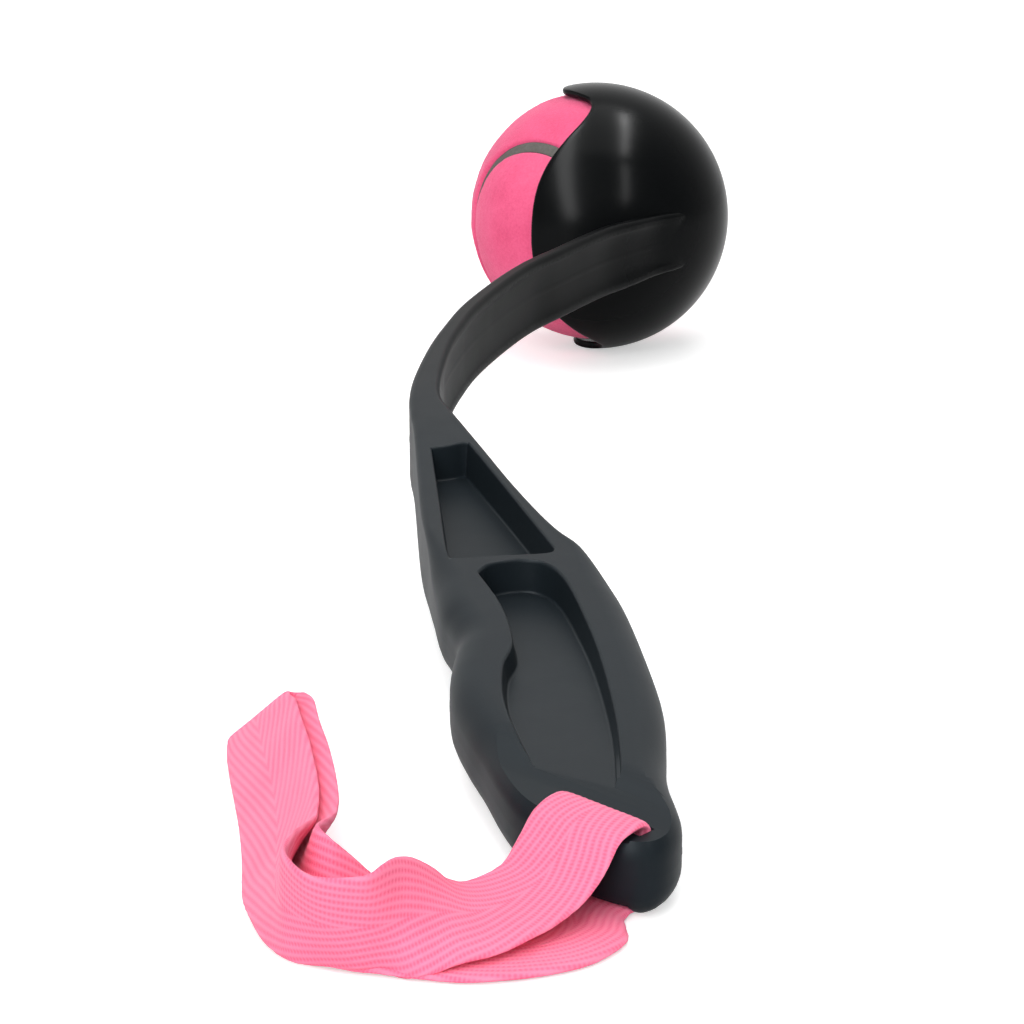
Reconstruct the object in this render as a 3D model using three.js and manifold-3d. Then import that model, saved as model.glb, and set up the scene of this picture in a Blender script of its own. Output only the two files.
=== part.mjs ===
// A dog ball thrower, lying on its side: one moulded launcher (cup, whippy arm and pocketed grip),
// a felt ball held in the cup, and a webbing wrist loop threaded through the butt.
// Millimetres, +Z up. The launcher is drawn flat, with the cup's centre at the middle, the grip
// towards -Y and its two faces towards +Z and -Z, and is then tipped until cup and butt touch the floor.

import * as THREE from 'three';
import { mergeVertices } from 'three/addons/utils/BufferGeometryUtils.js';
import Module from 'manifold-3d';

const wasm = await Module();
wasm.setup();

// Driving sizes of the ball, and its turns about the three axes in degrees
const ballDiameter = 63.5;
const feltThickness = 2.45;
const seamWidth = 3;
const seamDepth = 0.3;
const coreWall = 3.3;
const pieceGap = 0.3;
const ballTurns = [-4.8, -32.2, -168.8];

// Driving sizes of the cup, the way that it opens, in degrees from +X, and the dip of its rim
const ballClearance = 0.6;
const exitClearance = 0.2;
const cupWall = 1.8;
const exitLength = 60;
const openingAzimuth = 147;
const rimDip = 3.3;

// Driving sizes of the arm and the handle
const mouldedThickness = 14;
const armReach = 42;
const armLength = 185;
const armRootThickness = 6.6;
const armTipThickness = 3.4;
const handleLength = 205;
const gripWidth = 33;
const edgeRadius = 1.2;
const gripEdgeRadius = 5;
const webThickness = 2.4;
const wallDraft = 1.1;
const floorFillet = 0.77;
const armRecess = 1;
const armRimHeight = 1.9;
const grooveLift = 0.02;
const armRise = 1.4;
const handleRiseLength = 75;
const cupRiseLength = 30;

// Driving sizes of the strap and its slot
const strapWidth = 16;
const strapThickness = 1.3;
const slotLength = 18.6;
const slotWidth = 3.4;
const barWidth = 5;
const saddleDepth = 2.1;
const buttSpan = 60;

// One overrun serves every cut
const overrun = 2;

// How finely the forms are drawn
const outlineSteps = 60;
const edgeSteps = 3;
const coveSteps = 32;
const coveFadeSteps = 4;
const roundSteps = 32;
const mergeTolerance = 1e-4;

const ballRadius = ballDiameter / 2;
const cupInner = ballRadius + ballClearance;
const cupOuter = cupInner + cupWall;
const halfThickness = mouldedThickness / 2;
const degrees = Math.PI / 180;

// Solids and meshes

function solid(geometry) {
  const plain = new THREE.BufferGeometry();
  plain.setAttribute('position', geometry.getAttribute('position'));
  plain.setIndex(geometry.getIndex());
  const merged = mergeVertices(plain, mergeTolerance);
  return new wasm.Manifold(new wasm.Mesh({
    numProp: 3,
    vertProperties: new Float32Array(merged.getAttribute('position').array),
    triVerts: new Uint32Array(merged.getIndex().array),
  }));
}

function geometryOf(manifold) {
  const mesh = manifold.getMesh();
  const geometry = new THREE.BufferGeometry();
  geometry.setAttribute('position', new THREE.BufferAttribute(new Float32Array(mesh.vertProperties), 3));
  geometry.setIndex(new THREE.BufferAttribute(new Uint32Array(mesh.triVerts), 1));
  geometry.computeVertexNormals();
  return geometry;
}

function indexed(points, triangles) {
  const geometry = new THREE.BufferGeometry();
  const places = points.flatMap((p) => [p.x, p.y, p.z]);
  geometry.setAttribute('position', new THREE.Float32BufferAttribute(places, 3));
  geometry.setIndex(triangles);
  geometry.computeVertexNormals();
  return geometry;
}

// Rings of equal length, joined one to the next and closed at each end by the triangles of the widest.
// The rings run anticlockwise seen from the side that the last one faces.
function stackedRings(rings, widest) {
  const count = rings[0].length;
  const triangles = [];
  for (let ring = 0; ring < rings.length - 1; ring++) {
    for (let i = 0; i < count; i++) {
      const a = ring * count + i;
      const b = ring * count + (i + 1) % count;
      triangles.push(a, b, b + count, a, b + count, a + count);
    }
  }
  const last = (rings.length - 1) * count;
  const outline = rings[widest].map((p) => new THREE.Vector2(p.x, p.y));
  for (const [a, b, c] of THREE.ShapeUtils.triangulateShape(outline, [])) {
    triangles.push(a, c, b, last + a, last + b, last + c);
  }
  return indexed(rings.flat(), triangles);
}

// A skin between two grids of the same size: rows by columns, with the outer one facing out.
function shellOfGrids(outer, inner) {
  const rows = outer.length;
  const columns = outer[0].length;
  const triangles = [];
  const at = (side, row, column) => (side * rows + row) * columns + column;
  for (let row = 0; row < rows - 1; row++) {
    for (let column = 0; column < columns - 1; column++) {
      for (const side of [0, 1]) {
        const a = at(side, row, column);
        const b = at(side, row, column + 1);
        const c = at(side, row + 1, column + 1);
        const d = at(side, row + 1, column);
        if (side === 0) triangles.push(a, b, c, a, c, d);
        else triangles.push(a, c, b, a, d, c);
      }
    }
  }
  const edge = [];
  for (let column = 0; column < columns - 1; column++) edge.push([0, column]);
  for (let row = 0; row < rows - 1; row++) edge.push([row, columns - 1]);
  for (let column = columns - 1; column > 0; column--) edge.push([rows - 1, column]);
  for (let row = rows - 1; row > 0; row--) edge.push([row, 0]);
  edge.forEach(([row, column], i) => {
    const [nextRow, nextColumn] = edge[(i + 1) % edge.length];
    const a = at(0, row, column);
    const b = at(0, nextRow, nextColumn);
    const c = at(1, nextRow, nextColumn);
    const d = at(1, row, column);
    triangles.push(a, c, b, a, d, c);
  });
  return indexed([...outer.flat(), ...inner.flat()], triangles);
}

// The launcher's outline, seen from above

// The finger side of the handle from the arm's root to the butt: across as a share of the grip's
// width from the root's middle, along as a share of the handle's length.
const fingerSideShares = [
  [-0.1, 0], [-0.085, 0.05], [-0.05, 0.115], [0.02, 0.31], [0.075, 0.4], [0.11, 0.465],
  [0.155, 0.53], [0.208, 0.565], [0.252, 0.6], [0.236, 0.635], [0.225, 0.675], [0.243, 0.72],
  [0.31, 0.77], [0.386, 0.815], [0.452, 0.86], [0.535, 0.91],
];
const palmSideShares = [
  [1.24, 0.93], [1.2, 0.855], [1.222, 0.745], [1.173, 0.64], [1.066, 0.507], [0.908, 0.415],
  [0.753, 0.365], [0.541, 0.26], [0.362, 0.16], [0.176, 0.055], [0.092, 0],
];
// The butt's end slants from the finger side's corner to the heel.
const heelShares = [[1.06, 0.99], [1.19, 0.977]];

// The arm's middle line from its root to the cup, across as a share of the arm's reach and along as
// a share of the way from the cup's end to the root. It ends in the cup's wall, where both are
// shares of the cup's outer radius.
const armRouteShares = [
  [-0.921, 1], [-0.921, 0.9163], [-0.876, 0.7879], [-0.812, 0.6874], [-0.729, 0.5892],
  [-0.576, 0.4664], [-0.426, 0.3704], [-0.262, 0.2945], [-0.119, 0.2275], [0.029, 0.165],
  [0.2, 0.1103], [0.329, 0.0712], [0.4473, 0.0456], [0.5284, 0.0224],
];
const armEndShares = [0.7222, 0.5643];
// The arm thins fast just past its root.
const armThicknessShares = [1, 0.65, 0.35, 0.22, 0.19, 0.12, 0.06, 0, 0, 0, 0, -0.1, -0.2, -0.3, -0.4];

const armEnd = new THREE.Vector2(armEndShares[0] * cupOuter, -armEndShares[1] * cupOuter);

function armPoint([across, along]) {
  return new THREE.Vector2(across * armReach, THREE.MathUtils.lerp(armEnd.y, -armLength, along));
}

const handleRoot = armPoint(armRouteShares[0]);

function handlePoint([across, along]) {
  return new THREE.Vector2(handleRoot.x + across * gripWidth, handleRoot.y - along * handleLength);
}

function armSides() {
  const route = new THREE.SplineCurve([...armRouteShares.map(armPoint), armEnd]);
  const steps = armRouteShares.length;
  const finger = [];
  const palm = [];
  for (let i = 0; i <= steps; i++) {
    const middle = route.getPoint(i / steps);
    const tangent = route.getTangent(i / steps);
    const thickness = THREE.MathUtils.lerp(armTipThickness, armRootThickness, armThicknessShares[i]);
    const side = new THREE.Vector2(-tangent.y, tangent.x).multiplyScalar(thickness / 2);
    finger.push(middle.clone().add(side));
    palm.push(middle.clone().sub(side));
  }
  return { finger, palm };
}

// Half the moulding's height: the arm is taller than the handle, and falls back to it at the cup.
function halfHeight(y) {
  const fromHandle = THREE.MathUtils.smoothstep(y, handleRoot.y - handleRiseLength, handleRoot.y);
  const fromCup = THREE.MathUtils.smoothstep(-y, cupOuter / 2, cupOuter / 2 + cupRiseLength);
  return halfThickness + armRise * Math.min(fromHandle, fromCup);
}

// Along the handle, where its edge starts to round and where it is as round as the grip
const roundingShares = [0.36, 0.5];

// Anticlockwise outline points, each with the radius that rounds its edge and half the height there.
function launcherOutline() {
  const arm = armSides();
  const fingerSide = new THREE.SplineCurve([
    ...arm.finger.slice(1).reverse(), ...fingerSideShares.map(handlePoint),
  ]);
  const palmSide = new THREE.SplineCurve([
    ...heelShares.map(handlePoint), ...palmSideShares.map(handlePoint), ...arm.palm.slice(1),
  ]);
  const points = [...fingerSide.getSpacedPoints(outlineSteps), ...palmSide.getSpacedPoints(outlineSteps)];
  const [gripStart, gripFull] = roundingShares.map((along) => handlePoint([0, along]).y);
  return points.map((point) => {
    const blend = THREE.MathUtils.smoothstep(-point.y, -gripStart, -gripFull);
    const radius = THREE.MathUtils.lerp(edgeRadius, gripEdgeRadius, blend);
    return { point, radius, half: halfHeight(point.y) };
  });
}

function inwardNormals(points) {
  return points.map((point, i) => {
    const before = points[(i + points.length - 1) % points.length];
    const after = points[(i + 1) % points.length];
    const along = after.clone().sub(before).normalize();
    return new THREE.Vector2(-along.y, along.x);
  });
}

// A slab of an outline, with its edge rounded above and below by each point's own radius.
function roundedSlab(outline, steps) {
  const points = outline.map((entry) => entry.point);
  const normals = inwardNormals(points);
  const ring = (angle, sign) => outline.map(({ point, radius, half }, i) => {
    const inset = radius * (1 - Math.cos(angle));
    const rise = half - radius + radius * Math.sin(angle);
    return new THREE.Vector3(point.x + normals[i].x * inset, point.y + normals[i].y * inset, sign * rise);
  });
  const rings = [];
  for (let step = steps; step >= 0; step--) rings.push(ring(step / steps * Math.PI / 2, -1));
  for (let step = 0; step <= steps; step++) rings.push(ring(step / steps * Math.PI / 2, 1));
  return stackedRings(rings, steps);
}

// Pockets in the two faces of the handle

const trianglePocketShares = [
  [0.06, 0.163], [0.17, 0.155], [0.25, 0.148], [0.3, 0.165], [0.52, 0.29], [0.71, 0.405],
  [0.735, 0.425], [0.69, 0.434], [0.45, 0.44], [0.235, 0.446], [0.185, 0.43], [0.125, 0.3],
];
const gripPocketShares = [
  [0.35, 0.48], [0.41, 0.461], [0.55, 0.451], [0.69, 0.46], [0.79, 0.5], [0.88, 0.59],
  [0.94, 0.675], [0.985, 0.79], [0.985, 0.885], [0.955, 0.9], [0.82, 0.905], [0.68, 0.905],
  [0.65, 0.9], [0.58, 0.845], [0.49, 0.755], [0.48, 0.685], [0.525, 0.633], [0.47, 0.555],
];

// The lower part of a pocket's wall, as a share of its depth, runs in to the floor.
const wallFootShare = 0.16;

// A drafted pocket cut down from the upper face. floorAt gives the floor's height at a point.
function pocket(shares, samples, floorAt) {
  const curve = new THREE.SplineCurve([...shares, shares[0]].map(handlePoint));
  const points = curve.getSpacedPoints(samples).slice(0, samples);
  if (THREE.ShapeUtils.isClockWise(points)) points.reverse();
  const normals = inwardNormals(points);
  const ring = (inset, heightOf) => points.map((point, i) => {
    const x = point.x + normals[i].x * inset;
    const y = point.y + normals[i].y * inset;
    return new THREE.Vector3(x, y, heightOf(floorAt(y)));
  });
  return solid(stackedRings([
    ring(wallDraft + floorFillet, (floor) => floor),
    ring(wallDraft, (floor) => THREE.MathUtils.lerp(floor, halfThickness, wallFootShare)),
    ring(0, () => halfThickness),
    ring(0, () => halfThickness + overrun),
  ], 3));
}

function mirroredPair(cutter) {
  return cutter.add(cutter.mirror([0, 0, 1]));
}

// The strap's slot, bar and saddles at the slanted end of the butt. The upper saddle runs across the
// whole butt, and the lower one is as long as the slot.

const fingerCorner = handlePoint(fingerSideShares[fingerSideShares.length - 1]);
const heelCorner = handlePoint(heelShares[0]);
const endDirection = heelCorner.clone().sub(fingerCorner).normalize();
const endOutward = new THREE.Vector2(endDirection.y, -endDirection.x);
const slotMiddle = fingerCorner.clone().add(heelCorner).multiplyScalar(0.5)
  .addScaledVector(endOutward, -(barWidth + slotWidth / 2));

function endBlock(length, width, height) {
  const geometry = new THREE.BoxGeometry(length, width, height);
  geometry.rotateZ(endDirection.angle());
  return geometry;
}

function strapSlot() {
  const stadium = new THREE.Shape();
  const half = slotLength / 2 - slotWidth / 2;
  stadium.absarc(half, 0, slotWidth / 2, -Math.PI / 2, Math.PI / 2);
  stadium.absarc(-half, 0, slotWidth / 2, Math.PI / 2, Math.PI * 1.5);
  const depth = mouldedThickness + overrun * 2;
  const geometry = new THREE.ExtrudeGeometry(stadium, { depth, bevelEnabled: false, curveSegments: 5 });
  geometry.translate(0, 0, -depth / 2);
  geometry.rotateZ(endDirection.angle());
  geometry.translate(slotMiddle.x, slotMiddle.y, 0);
  return solid(geometry);
}

function strapSaddle(length) {
  const reach = barWidth + slotWidth / 2 + gripEdgeRadius;
  const geometry = endBlock(length, reach, saddleDepth + overrun);
  const middle = slotMiddle.clone().addScaledVector(endOutward, reach / 2);
  geometry.translate(middle.x, middle.y, halfThickness - saddleDepth + (saddleDepth + overrun) / 2);
  return solid(geometry);
}

// The shallow cove along the arm's hollow side, between its two raised rims
const coveShares = [[-1, 0], [-0.9, 0.42], [-0.62, 0.82], [0, 1], [0.62, 0.82], [0.9, 0.42], [1, 0]];

function armGroove() {
  const arm = armSides();
  const palm = new THREE.SplineCurve(arm.palm.slice(1, -1)).getSpacedPoints(coveSteps);
  const normals = inwardNormals(palm);
  const ends = palm.length - 1;
  normals[0] = normals[1];
  normals[ends] = normals[ends - 1];
  const grid = (cutAt) => palm.map((point, i) => coveShares.map(([rise, depth]) => {
    const fade = THREE.MathUtils.clamp(Math.min(i, ends - i) / coveFadeSteps, 0, 1);
    const moved = point.clone().addScaledVector(normals[i], cutAt(depth * fade));
    return new THREE.Vector3(moved.x, moved.y, rise * (halfHeight(point.y) - armRimHeight));
  }));
  return solid(shellOfGrids(grid((depth) => armRecess * depth - grooveLift), grid(() => -overrun)));
}

// The cup: a shell about the ball whose wavy rim has a low lobe by the arm, one opposite it,
// and two side lobes that reach past the ball's middle.

// Angle round the opening from the arm's side, and the rim's angle from its axis, in degrees
const rimQuarter = [
  [0, 93], [20, 93.7], [33, 96], [47, 100.5], [58, 103.3], [67, 103.2], [73.5, 99.5], [77.5, 90],
  [82, 81], [90, 77],
];

const rimSteps = 52;

function rimSamples(perQuarter) {
  const spread = 180;
  const far = rimQuarter.slice(0, -1).reverse().map(([turn, angle]) => [spread - turn, angle]);
  const points = [...rimQuarter, ...far].map(([turn, angle]) => new THREE.Vector2(turn, angle));
  const curve = new THREE.SplineCurve(points);
  const half = curve.getSpacedPoints(perQuarter * 2);
  const inner = half.slice(1, -1).reverse();
  const back = inner.map((sample) => new THREE.Vector2(spread * 2 - sample.x, sample.y));
  return [...half, ...back];
}

// A direction from the cup's centre, by its turn round the rim's axis and angle from it
const opening = openingAzimuth * degrees;
const openingAxis = new THREE.Vector3(Math.cos(opening), Math.sin(opening), 0);
const armSideAxis = new THREE.Vector3(-openingAxis.y, openingAxis.x, 0);
const rimAxis = openingAxis.clone().applyAxisAngle(armSideAxis, -rimDip * degrees);
const rimUpAxis = rimAxis.clone().cross(armSideAxis);

function cupDirection(turn, angle) {
  return rimAxis.clone().multiplyScalar(Math.cos(angle))
    .addScaledVector(armSideAxis, Math.sin(angle) * Math.cos(turn))
    .addScaledVector(rimUpAxis, Math.sin(angle) * Math.sin(turn));
}

function cupShell() {
  const rim = rimSamples(rimSteps / 4);
  const rows = 12;
  const columns = rim.length;
  const points = [];
  for (const radius of [cupOuter, cupInner]) {
    points.push(rimAxis.clone().multiplyScalar(-radius));
    for (let row = 1; row <= rows; row++) {
      for (const { x: turn, y: angle } of rim) {
        const fromPole = (180 - angle) * row / rows;
        points.push(cupDirection(turn * degrees, (180 - fromPole) * degrees).multiplyScalar(radius));
      }
    }
  }
  const side = 1 + rows * columns;
  const at = (skin, row, column) => skin * side + 1 + (row - 1) * columns + column % columns;
  const triangles = [];
  const quad = (a, b, c, d) => triangles.push(a, b, c, a, c, d);
  for (let column = 0; column < columns; column++) {
    triangles.push(0, at(0, 1, column + 1), at(0, 1, column));
    triangles.push(side, at(1, 1, column), at(1, 1, column + 1));
    for (let row = 1; row < rows; row++) {
      quad(at(0, row, column), at(0, row, column + 1), at(0, row + 1, column + 1), at(0, row + 1, column));
      quad(at(1, row, column), at(1, row + 1, column), at(1, row + 1, column + 1), at(1, row, column + 1));
    }
    quad(at(0, rows, column), at(0, rows, column + 1), at(1, rows, column + 1), at(1, rows, column));
  }
  return solid(indexed(points, triangles));
}

// The arm ends inside the cup's wall.
function wallMiddle() {
  return solid(new THREE.SphereGeometry(cupInner + cupWall / 2, roundSteps, roundSteps / 2));
}

// The ball's way out, which thins the tips of the side lobes
function ballWay() {
  const radius = ballRadius + exitClearance;
  const geometry = new THREE.CylinderGeometry(radius, radius, exitLength, rimSteps);
  geometry.translate(0, exitLength / 2, 0);
  const upright = new THREE.Vector3(0, 1, 0);
  geometry.applyQuaternion(new THREE.Quaternion().setFromUnitVectors(upright, openingAxis));
  return solid(geometry);
}

// Along the handle, where the grip pocket is deepest and where its floor has risen to the rim
const gripFloorShares = [0.46, 0.905];
const trianglePocketSteps = 36;
const gripPocketSteps = 54;

function launcherGeometry() {
  const gripFloor = (y) => {
    const [start, end] = gripFloorShares.map((along) => handlePoint([0, along]).y);
    const share = THREE.MathUtils.clamp((start - y) / (start - end), 0, 1);
    return THREE.MathUtils.lerp(webThickness / 2, halfThickness - armRecess, share);
  };
  const slab = solid(roundedSlab(launcherOutline(), edgeSteps));
  const cuts = [
    mirroredPair(pocket(trianglePocketShares, trianglePocketSteps, () => webThickness / 2)),
    mirroredPair(pocket(gripPocketShares, gripPocketSteps, gripFloor)),
    strapSlot(),
    strapSaddle(buttSpan),
    strapSaddle(slotLength).mirror([0, 0, 1]),
    armGroove(),
    wallMiddle(),
  ];
  const handle = cuts.reduce((rest, cut) => rest.subtract(cut), slab);
  return geometryOf(handle.add(cupShell()).subtract(ballWay()));
}

// The ball's seam runs round it as one closed line with four turns, on a sphere of radius one.
const seamSpread = 0.75;
const turnStep = 0.001;

function seamDirection(turn) {
  const rest = 1 - seamSpread;
  return new THREE.Vector3(
    seamSpread * Math.cos(turn) + rest * Math.cos(3 * turn),
    seamSpread * Math.sin(turn) - rest * Math.sin(3 * turn),
    2 * Math.sqrt(seamSpread * rest) * Math.sin(2 * turn),
  );
}

function seamFrame(turn) {
  const out = seamDirection(turn).normalize();
  const along = seamDirection(turn + turnStep).sub(seamDirection(turn - turnStep)).normalize();
  return { out, across: out.clone().cross(along).normalize() };
}

const coreRadius = ballRadius - feltThickness - pieceGap;
const feltInner = ballRadius - feltThickness;

function seamGeometry() {
  const steps = 80;
  const halfWidth = seamWidth / 2 - pieceGap;
  const corners = [[-halfWidth, feltInner], [halfWidth, feltInner],
    [halfWidth, ballRadius - seamDepth], [-halfWidth, ballRadius - seamDepth]];
  const points = [];
  const triangles = [];
  for (let i = 0; i < steps; i++) {
    const { out, across } = seamFrame(i / steps * Math.PI * 2);
    for (const [offset, radius] of corners) {
      points.push(out.clone().multiplyScalar(radius).addScaledVector(across, offset).setLength(radius));
    }
    for (let corner = 0; corner < corners.length; corner++) {
      const next = (corner + 1) % corners.length;
      const ahead = (i + 1) % steps * corners.length;
      const here = i * corners.length;
      triangles.push(here + corner, here + next, ahead + next, here + corner, ahead + next, ahead + corner);
    }
  }
  return indexed(points, triangles);
}

// The panel's two ends stop this much further from the seam's turns than its sides do from the seam.
const panelEndShare = 1.35;

// One felt panel: arcs from a point of the seam to its mirror point, between two skins.
function panelGeometry() {
  const rows = 30;
  const columns = 9;
  const inset = Math.asin((seamWidth / 2) / ballRadius);
  const start = -Math.PI / 4;
  const endInset = inset * panelEndShare;
  const grid = (radius) => {
    const lines = [];
    for (let row = 0; row <= rows; row++) {
      const share = row / rows;
      const turn = THREE.MathUtils.lerp(start + Math.PI - endInset, start + endInset, share);
      const edge = seamFrame(turn);
      const from = edge.out.clone().addScaledVector(edge.across, Math.tan(inset)).normalize();
      const to = new THREE.Vector3(-from.y, -from.x, from.z);
      const line = [];
      for (let column = 0; column <= columns; column++) {
        const angle = from.angleTo(to);
        const t = column / columns;
        line.push(from.clone().multiplyScalar(Math.sin((1 - t) * angle) / Math.sin(angle))
          .addScaledVector(to, Math.sin(t * angle) / Math.sin(angle)).setLength(radius));
      }
      lines.push(line);
    }
    return lines;
  };
  return shellOfGrids(grid(ballRadius), grid(feltInner));
}

function coreHalfGeometry() {
  const steps = 6;
  const profile = [];
  const lift = pieceGap / 2;
  for (let i = 0; i <= steps; i++) {
    const angle = i / steps * Math.PI / 2;
    const drop = Math.cos(angle) * (coreRadius - lift) + lift;
    profile.push(new THREE.Vector2(Math.sin(angle) * coreRadius, -drop));
  }
  for (let i = steps; i >= 0; i--) {
    const angle = i / steps * Math.PI / 2;
    const radius = coreRadius - coreWall;
    profile.push(new THREE.Vector2(Math.sin(angle) * radius, -Math.cos(angle) * (radius - lift) - lift));
  }
  return new THREE.LatheGeometry(profile, roundSteps);
}

// The wrist loop

// Points of the loop's middle line from the slot's middle: up through the slot, over the bar, out and
// round on edge, back on the inside, and flat along the floor under the bar. Each has the direction
// across the webbing there.
const strapRoute = [
  { at: [-0.49, -0.52, 0], across: [-0.73, 0.68, 0.05] },
  { at: [-0.49, -0.8, 4.2], across: [-0.73, 0.68, 0.05] },
  { at: [-0.66, -1.06, 5.4], across: [-0.73, 0.68, 0.05] },
  { at: [-1.32, -1.79, 6], across: [-0.73, 0.68, 0.05] },
  { at: [-2.93, -3.44, 5.9], across: [-0.73, 0.68, 0.05] },
  { at: [-4.9, -5.5, 4.9], across: [-0.73, 0.68, 0.05] },
  { at: [-6.9, -8, 1.9], across: [-0.74, 0.67, 0.05] },
  { at: [-9.4, -10.4, -1.2], across: [-0.71, 0.7, 0.05] },
  { at: [-13.1, -14, -2.6], across: [-0.67, 0.72, 0.12] },
  { at: [-16, -17, -2.7], across: [-0.6, 0.77, 0.18] },
  { at: [-19.2, -19.9, -2.3], across: [-0.46, 0.82, 0.33] },
  { at: [-22.8, -22.6, -1], across: [-0.26, 0.79, 0.54] },
  { at: [-27.2, -26.6, 0.4], across: [-0.14, 0.42, 0.86] },
  { at: [-32.3, -29.8, 0.7], across: [-0.1, -0.3, 0.95] },
  { at: [-38.2, -29.3, 0.7], across: [-0.14, -0.32, 0.94] },
  { at: [-43.2, -25.3, 1.1], across: [-0.06, -0.07, 1] },
  { at: [-44.9, -18.8, 1], across: [0.22, 0.08, 0.97] },
  { at: [-45.6, -10, 0.1], across: [0.5, 0.1, 0.86] },
  { at: [-46.2, -2, -0.9], across: [0.66, 0.07, 0.75] },
  { at: [-46.9, 9, -1.1], across: [0.69, 0.06, 0.72] },
  { at: [-49, 26.3, -1.1], across: [0.69, 0.04, 0.72] },
  { at: [-51.6, 42, -1.1], across: [0.68, -0.02, 0.73] },
  { at: [-53, 51.2, -1.3], across: [0.69, -0.1, 0.72] },
  { at: [-53.95, 57.3, -1.45], across: [0.66, -0.34, 0.67] },
  { at: [-53.95, 60.1, -1.7], across: [0.65, -0.39, 0.65] },
  { at: [-52.15, 60.1, -1.7], across: [0.65, -0.39, 0.65] },
  { at: [-51.15, 57.3, -1.45], across: [0.65, -0.34, 0.68] },
  { at: [-50.05, 51, -1.25], across: [0.68, -0.13, 0.72] },
  { at: [-48.6, 40, -1.1], across: [0.68, -0.02, 0.73] },
  { at: [-46.3, 26.3, -1.1], across: [0.69, 0.04, 0.72] },
  { at: [-44.1, 9, -1.1], across: [0.69, 0.06, 0.72] },
  { at: [-43.2, -2, -0.7], across: [0.62, 0.07, 0.78] },
  { at: [-42.7, -9.5, 0.2], across: [0.45, 0.1, 0.88] },
  { at: [-41.8, -15.6, 0.6], across: [0.24, 0.22, 0.94] },
  { at: [-39.2, -19.6, -0.1], across: [0.2, 0.5, 0.84] },
  { at: [-35.4, -20.7, -1.9], across: [0.14, 0.76, 0.62] },
  { at: [-30.5, -21.2, -4.2], across: [0.06, 0.94, 0.32] },
  { at: [-25, -22.4, -6.1], across: [-0.02, 1, 0.08] },
  { at: [-20, -23.2, -6.75], across: [-0.08, 1, 0] },
  { at: [-14.6, -22.2, -6.8], across: [-0.34, 0.94, 0] },
  { at: [-8.6, -19.4, -6.8], across: [-0.62, 0.78, 0] },
  { at: [-5.2, -14.2, -6.8], across: [-0.86, 0.5, 0] },
  { at: [-4.8, -9, -6.75], across: [-0.83, 0.57, 0] },
  { at: [-4.3, -5.1, -6.67], across: [-0.75, 0.66, 0.03] },
  { at: [-2.93, -2.6, -6.2], across: [-0.73, 0.68, 0.05] },
  { at: [-1.32, -0.94, -6], across: [-0.73, 0.68, 0.05] },
  { at: [-0.66, -0.3, -5.4], across: [-0.73, 0.68, 0.05] },
  { at: [-0.49, -0.2, -4.2], across: [-0.73, 0.68, 0.05] },
];

function strapGeometry() {
  const route = new THREE.CatmullRomCurve3(strapRoute.map(({ at }) => new THREE.Vector3(...at)), true);
  const leans = strapRoute.map(({ across }) => new THREE.Vector3(...across));
  const acrossCurve = new THREE.CatmullRomCurve3(leans, true);
  const steps = strapRoute.length * 2;
  const points = [];
  const triangles = [];
  const corners = [[-1, -1], [1, -1], [1, 1], [-1, 1]];
  for (let i = 0; i < steps; i++) {
    const t = i / steps;
    const middle = route.getPoint(t);
    const tangent = route.getTangent(t);
    const across = acrossCurve.getPoint(t);
    across.normalize();
    const out = tangent.clone().cross(across).normalize();
    for (const [side, face] of corners) {
      points.push(middle.clone()
        .addScaledVector(across, side * strapWidth / 2)
        .addScaledVector(out, face * strapThickness / 2));
    }
    for (let corner = 0; corner < corners.length; corner++) {
      const next = (corner + 1) % corners.length;
      const ahead = (i + 1) % steps * corners.length;
      const here = i * corners.length;
      triangles.push(here + corner, here + next, ahead + next, here + corner, ahead + next, ahead + corner);
    }
  }
  return indexed(points, triangles);
}

// Materials

const black = new THREE.Color(0.045, 0.05, 0.055);
const pink = new THREE.Color(0.93, 0.2, 0.38);
const rubberGrey = new THREE.Color(0.25, 0.25, 0.25);
const seamGrey = new THREE.Color(0.12, 0.11, 0.1);

function finish(color, roughness) {
  return new THREE.MeshStandardMaterial({ color, roughness, metalness: 0 });
}

function piece(name, geometry, material) {
  const mesh = new THREE.Mesh(geometry, material);
  mesh.name = name;
  return mesh;
}

// Assembly

const launcher = new THREE.Group();
launcher.add(piece('launcher', launcherGeometry(), finish(black, 0.35)));

// The ball is turned so that its seam crosses the cup's opening as it lies.
const ball = new THREE.Group();
ball.rotation.set(...ballTurns.map((turn) => turn * degrees));
const rubber = finish(rubberGrey, 0.8);
const lowerCore = piece('core_half_lower', coreHalfGeometry(), rubber);
const upperCore = piece('core_half_upper', coreHalfGeometry(), rubber);
upperCore.rotation.x = Math.PI;
const firstPanel = piece('felt_panel_a', panelGeometry(), finish(pink, 0.95));
const secondPanel = piece('felt_panel_b', panelGeometry(), finish(pink, 0.95));
secondPanel.rotation.x = Math.PI;
const seam = piece('ball_seam', seamGeometry(), finish(seamGrey, 0.9));
ball.add(lowerCore, upperCore, firstPanel, secondPanel, seam);
launcher.add(ball);

// The launcher is tipped until the cup and the butt's lower edge both touch the floor.
const buttReach = -Math.min(...launcherOutline().map(({ point }) => point.y)) - gripEdgeRadius;
const tilt = Math.asin(cupOuter / Math.hypot(buttReach, halfThickness)) - Math.atan2(halfThickness, buttReach);
launcher.rotation.x = tilt;
launcher.position.z = cupOuter;

const strap = piece('wrist_strap', strapGeometry(), finish(pink, 0.9));
strap.position.copy(new THREE.Vector3(slotMiddle.x, slotMiddle.y, 0))
  .applyEuler(launcher.rotation).add(launcher.position);

// The origin is on the floor, under the middle of the launcher and its ball.
const extent = new THREE.Box3().setFromObject(launcher, true);
const middle = extent.getCenter(new THREE.Vector3());
const thrower = new THREE.Group();
thrower.add(launcher, strap);
thrower.position.set(-middle.x, -middle.y, -extent.min.z);

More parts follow.
